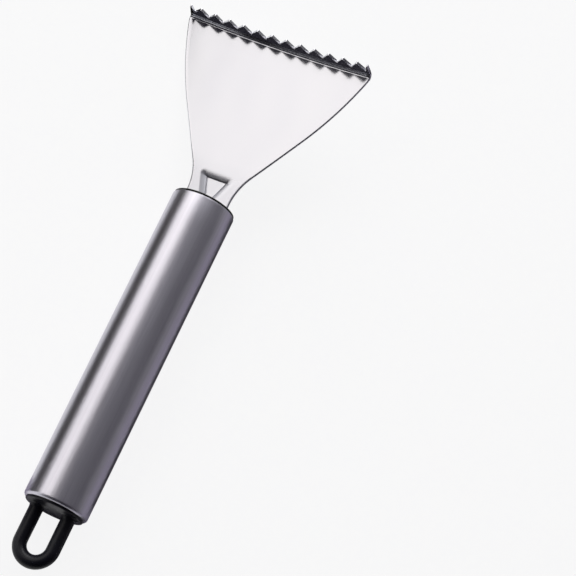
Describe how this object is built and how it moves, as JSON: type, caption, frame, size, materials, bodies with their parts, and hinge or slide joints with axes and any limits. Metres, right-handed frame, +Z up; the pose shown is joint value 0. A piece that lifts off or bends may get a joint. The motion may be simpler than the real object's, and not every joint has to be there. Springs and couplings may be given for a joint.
{
  "type": "fish scaler",
  "caption": "Hand tool for scaling fish: flared stainless blade with a folded toothed lip, tubular stainless handle and a plastic hanging loop.",
  "frame": {"origin": "on the axis of the handle tube, at the middle of its length", "axes": "+Y along the handle towards the blade, +Z up as the tool lies at rest with its teeth up, on the handle and on one front corner of the blade"},
  "size_m": [0.0645, 0.1969, 0.0315],
  "materials": {
    "polished_sheet": "stainless sheet, mirror polished",
    "satin_tube": "stainless tube, satin brushed",
    "bush_plastic": "black moulded plastic",
    "plug_plastic": "black moulded plastic, satin"
  },
  "bodies": {
    "root": {"blade": "polished_sheet", "handle_tube": "satin_tube", "mouth_bush": "bush_plastic", "hanging_plug": "plug_plastic"}
  },
  "joints": []
}
